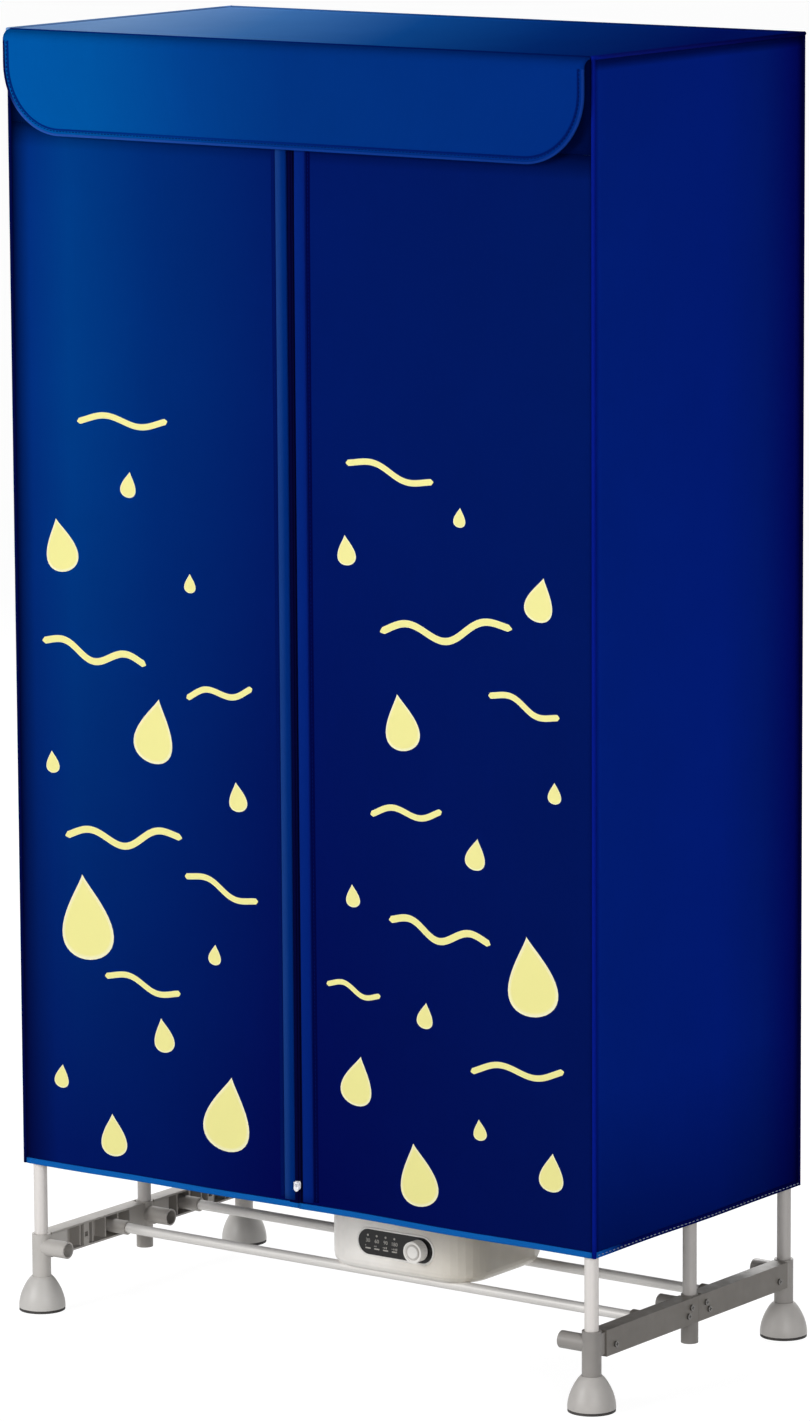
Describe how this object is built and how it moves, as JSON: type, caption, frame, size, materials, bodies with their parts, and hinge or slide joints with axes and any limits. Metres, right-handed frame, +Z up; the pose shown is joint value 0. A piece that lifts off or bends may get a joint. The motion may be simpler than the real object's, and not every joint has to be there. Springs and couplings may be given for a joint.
{
  "type": "heated clothes drying cabinet",
  "caption": "Tall cloth-covered drying cabinet on a tube frame, with a zipped front, a front flap, hanging rods and a fan heater on two rails under its open bottom.",
  "frame": {"origin": "on the floor, at the centre of the four feet", "axes": "+X to the right across the width, the zipped front faces -Y, +Z up"},
  "size_m": [0.8346, 0.4466, 1.5],
  "materials": {
    "foot_plastic": "satin moulded grey plastic",
    "pad_rubber": "dark rubber",
    "frame_plastic": "satin moulded grey plastic",
    "hub_plastic": "satin moulded grey plastic",
    "screw_steel": "dark zinc-plated steel",
    "tube_paint": "satin silver-grey coated steel tube",
    "top_cloth": "coated plain-weave cloth",
    "side_cloth": "coated plain-weave cloth",
    "front_cloth": "coated plain-weave cloth with a pale printed pattern",
    "piping_cloth": "cloth-covered piping",
    "flap_cloth": "coated plain-weave cloth, two layers",
    "zip_tape": "woven zip tape with a plastic coil",
    "slider_white": "white lacquered",
    "case_plastic": "satin off-white moulded plastic",
    "grille_plastic": "satin moulded plastic",
    "panel_black": "glossy black with small pale marks",
    "knob_white": "satin off-white plastic",
    "shaft_steel": "ground steel",
    "plunger_black": "black plastic",
    "board_green": "solder-masked board",
    "motor_steel": "drawn steel can",
    "fan_plastic": "moulded plastic",
    "core_metal": "brazed fins",
    "cutout_ceramic": "moulded body",
    "gland_rubber": "black rubber"
  },
  "bodies": {
    "root": {"foot_front_left": "foot_plastic", "foot_front_right": "foot_plastic", "foot_rear_left": "foot_plastic", "foot_rear_right": "foot_plastic", "foot_pads": "pad_rubber", "corner_front_left": "frame_plastic", "corner_front_right": "frame_plastic", "corner_rear_left": "frame_plastic", "corner_rear_right": "frame_plastic", "arm_front_left": "frame_plastic", "arm_front_right": "frame_plastic", "arm_rear_left": "frame_plastic", "arm_rear_right": "frame_plastic", "hub_left": "hub_plastic", "hub_right": "hub_plastic", "screws": "screw_steel", "rail_front": "tube_paint", "rail_rear": "tube_paint", "tube_front_left": "tube_paint", "tube_front_right": "tube_paint", "tube_mid_left": "tube_paint", "tube_mid_right": "tube_paint", "tube_rear_left": "tube_paint", "tube_rear_right": "tube_paint", "upper_tubes": "tube_paint", "mid_frame_left": "frame_plastic", "mid_frame_right": "frame_plastic", "top_frame_left": "frame_plastic", "top_frame_right": "frame_plastic", "mid_rod_front": "tube_paint", "mid_rod_rear": "tube_paint", "top_rod_front": "tube_paint", "top_rod_rear": "tube_paint", "cover_top": "top_cloth", "cover_back": "side_cloth", "cover_left": "side_cloth", "cover_right": "side_cloth", "cover_header": "front_cloth", "cover_piping": "piping_cloth", "heater_base": "case_plastic", "heater_cover": "case_plastic", "outlet_grille": "grille_plastic", "control_panel": "panel_black", "control_board": "board_green", "fan_motor": "motor_steel", "heater_core": "core_metal", "thermal_cutout": "cutout_ceramic", "cord_gland": "gland_rubber"},
    "flap": {"flap": "flap_cloth"},
    "door_left": {"door_left": "front_cloth", "zip_left": "zip_tape"},
    "door_right": {"door_right": "front_cloth", "zip_right": "zip_tape"},
    "zip_slider": {"zip_slider": "slider_white"},
    "zip_pull": {"zip_pull": "slider_white"},
    "knob_push": {"encoder_plunger": "plunger_black"},
    "knob": {"control_knob": "knob_white", "knob_shaft": "shaft_steel"},
    "fan": {"fan_impeller": "fan_plastic", "motor_shaft": "shaft_steel"}
  },
  "joints": [
    {"name": "flap_lift", "type": "hinge", "parent": "root", "child": "flap", "pos_m": [0, -0.2085, 1.4981], "axis": [-1, 0, 0], "range_deg": [0, 120]},
    {"name": "door_left_open", "type": "hinge", "parent": "root", "child": "door_left", "pos_m": [-0.4019, -0.2079, 0.7765], "axis": [0, 0, -1], "range_deg": [0, 105]},
    {"name": "door_right_open", "type": "hinge", "parent": "root", "child": "door_right", "pos_m": [0.4019, -0.2079, 0.7765], "axis": [0, 0, 1], "range_deg": [0, 105]},
    {"name": "zip_slide", "type": "slide", "parent": "root", "child": "zip_slider", "axis": [0, 0, 1], "range_m": [0, 1.15]},
    {"name": "pull_swing", "type": "hinge", "parent": "zip_slider", "child": "zip_pull", "pos_m": [-0.0035, -0.21305, 0.2078], "axis": [-1, 0, 0], "range_deg": [0, 150]},
    {"name": "knob_press", "type": "slide", "parent": "root", "child": "knob_push", "axis": [0, 1, 0], "range_m": [0, 0.0008], "stiffness_N_per_m": 1500, "springref_m": -0.0008},
    {"name": "knob_turn", "type": "hinge", "parent": "knob_push", "child": "knob", "pos_m": [0.079, -0.0973, 0.1155], "axis": [0, -1, 0], "continuous": true},
    {"name": "fan_spin", "type": "hinge", "parent": "root", "child": "fan", "pos_m": [0.041, 0.0165, 0.129], "axis": [0, 0, 1], "continuous": true}
  ],
  "couplings": [
    {"joint": "door_right_open", "follows": "door_left_open", "ratio": 1},
    {"joint": "zip_slide", "follows": "door_left_open", "m_per_rad": 0.6275}
  ]
}
